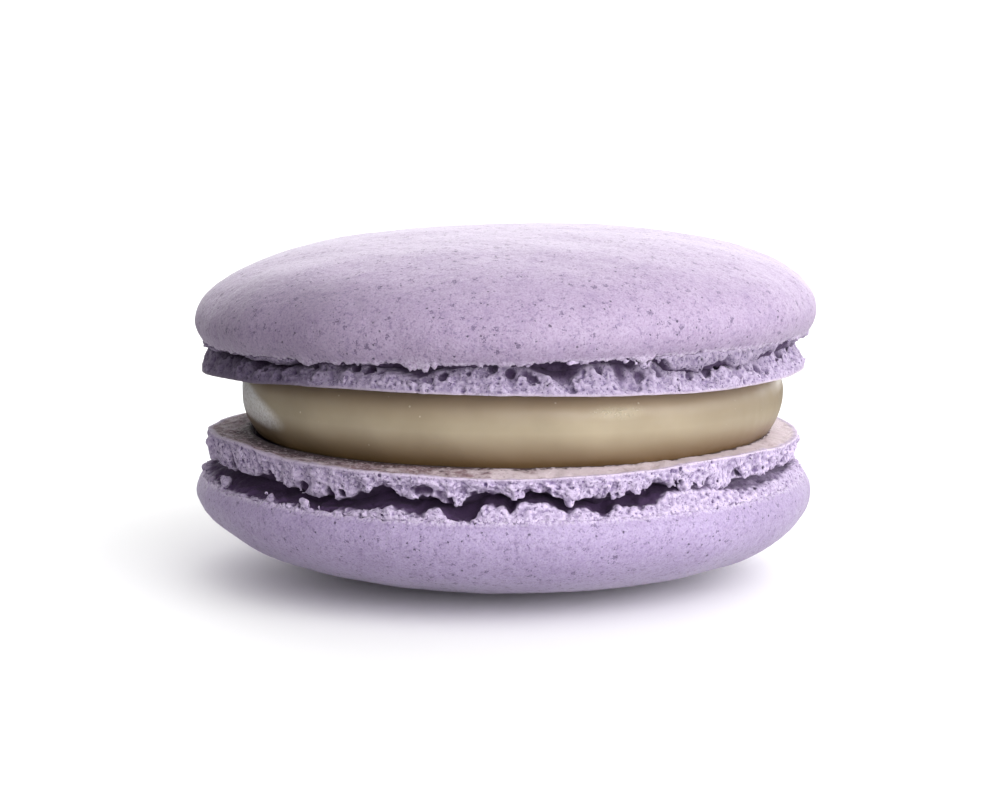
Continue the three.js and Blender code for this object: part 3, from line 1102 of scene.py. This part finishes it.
def ganache_material():
    """Soft glossy cream in khaki beige, with painted shade that browns it near the shells and darkens its
    upper right, a dried patch and small glints.
    """
    m = Look("ganache")
    level = m.value("level")
    m.colour = m.mix(m.ramp(m.noise(4, 3), 0.35, 0.65), rgb(173, 159, 135), rgb(165, 151, 127))
    # Painted shade: darker brown towards the bottom, over the lower shell.
    m.tint(rgb(108, 85, 56), m.ramp(level, 0.48, 0.04))
    # Painted shade: darker towards the top, under the upper shell.
    m.tint(rgb(148, 122, 99), m.ramp(level, 0.6, 1.0, 0, 0.65))
    # Painted shade on the upper right of the ganache.
    m.tint(rgb(128, 115, 98), m.value("dull"))
    dried = m.maths("MULTIPLY", m.value("dried"), m.ramp(m.noise(0.22, 3, 0.8), 0.42, 0.54, 0.6, 1.0))
    m.tint(rgb(255, 252, 250), dried)
    bubbles = m.dots(0.7, 0.04, 0.09, 0.2)
    m.tint(rgb(236, 226, 204), bubbles, 0.4)
    shine = m.value("glints")
    m.tint(rgb(226, 214, 184), shine, 0.25)
    spark = m.maths("ADD", m.noise(0.15, 3, 0.7), m.ramp(shine, 0.0, 1.0, 0.0, 0.08))
    glints = m.maths("MULTIPLY", shine, m.ramp(spark, 0.62, 0.7))
    m.tint(rgb(250, 244, 222), glints, 0.75)
    m.relief((m.noise(0.5, 3), 0.01), (glints, 0.05), (dried, 0.11), (bubbles, 0.03))
    return m.finish({
        "Roughness": m.ramp(dried, 0.0, 1.0, 0.4, 0.5),
        "Specular IOR Level": 0.4,
        "Subsurface Weight": 0.2,
        "Subsurface Radius": (1.0, 0.8, 0.5),
        "Subsurface Scale": 0.6 * MM,
    })


def floor_material():
    """Plain pale floor."""
    m = Look("floor")
    m.colour = m.mix(m.noise(60, 2), grey(0.98), grey(0.99))
    return m.finish({"Roughness": 0.7, "Specular IOR Level": 0.1})


def card_material():
    """White up to CARD_RADIUS and dark beyond it."""
    m = Look("bounce_card")
    away = m.vector_maths("LENGTH", m.place, output="Value")
    m.colour = m.mix(m.ramp(away, CARD_RADIUS * MM, 1.6 * CARD_RADIUS * MM), grey(0.75), grey(0.03))
    return m.finish({"Roughness": 0.9, "Specular IOR Level": 0.0})


# ---- Studio ----


def add_camera():
    data = bpy.data.cameras.new("camera")
    data.lens = CAMERA_LENS
    data.clip_start = 0.01
    camera = bpy.data.objects.new("camera", data)
    away = Vector((0, FRONT_Y * math.cos(CAMERA_ELEVATION), math.sin(CAMERA_ELEVATION)))
    camera.location = (Vector(CAMERA_AIM) + CAMERA_DISTANCE * away) * MM
    camera.rotation_euler = (math.pi / 2 - CAMERA_ELEVATION, 0, 0)
    bpy.context.scene.collection.objects.link(camera)
    bpy.context.scene.camera = camera


def add_ground(name, half, height, material):
    mesh = bpy.data.meshes.new(name)
    corners = [(-half, -half), (half, -half), (half, half), (-half, half)]
    mesh.from_pydata([(x, y, height) for x, y in corners], [], [(0, 1, 2, 3)])
    mesh.materials.append(material)
    ground = bpy.data.objects.new(name, mesh)
    bpy.context.scene.collection.objects.link(ground)
    return ground


def add_floor():
    """The pale floor that is seen, and a white card just under it that throws light back up.

    The floor is much larger than the white table that the light comes back from, so it gives none itself.
    """
    floor = add_ground("floor", 3.0, 0.0, floor_material())
    for rays in ("diffuse", "glossy", "transmission", "shadow"):
        setattr(floor, f"visible_{rays}", False)
    card = add_ground("bounce_card", 0.5, -0.00001, card_material())
    card.visible_camera = False


# Soft lights far away, as (angle from the front, elevation, half width, strength), with angles in degrees.
SKY = [
    (40, 1, 66, 3.43),
    (0, 8, 60, 0.375),
    (75, 8, 60, 0.48),
    (92, 17, 135, 0.88),
    (178, 8, 45, 3.97),
    (0, 90, 60, 0.19),
    (258, 10, 50, 0.4),
]
AMBIENT = 0.094


def add_world():
    """A white world that is as bright as the even light and the soft lights' glows together."""
    world = bpy.data.worlds.new("studio")
    bpy.context.scene.world = world
    world.use_nodes = True
    sky = Nodes(world.node_tree, "Generated")
    total = AMBIENT
    for angle, elevation, half_width, strength in SKY:
        turn, rise = math.radians(angle), math.radians(elevation)
        aim = polar(turn, math.cos(rise), math.sin(rise))
        facing = sky.vector_maths("DOT_PRODUCT", sky.place, aim, output="Value")
        edge = math.cos(math.radians(half_width))
        glow = sky.ramp(facing, edge, 1.0, 0.0, strength, interpolation_type="SMOOTHSTEP")
        total = sky.maths("ADD", total, glow)
    sky.fill(sky.tree.nodes["Background"], {"Color": grey(1), "Strength": total})


LOWER.skin = skin_material("lower_skin", rgb(157, 139, 178), rgb(164, 147, 184))
UPPER.skin = skin_material("upper_skin", rgb(162, 142, 172), rgb(169, 150, 178))
crumb_look = crumb_material()
for shell in (LOWER, UPPER):
    make_cap(shell, shell.skin)
    make_crumb(shell, crumb_look)
make_ganache(ganache_material())
add_camera()
add_floor()
add_world()
bpy.context.scene.view_settings.view_transform = "Standard"
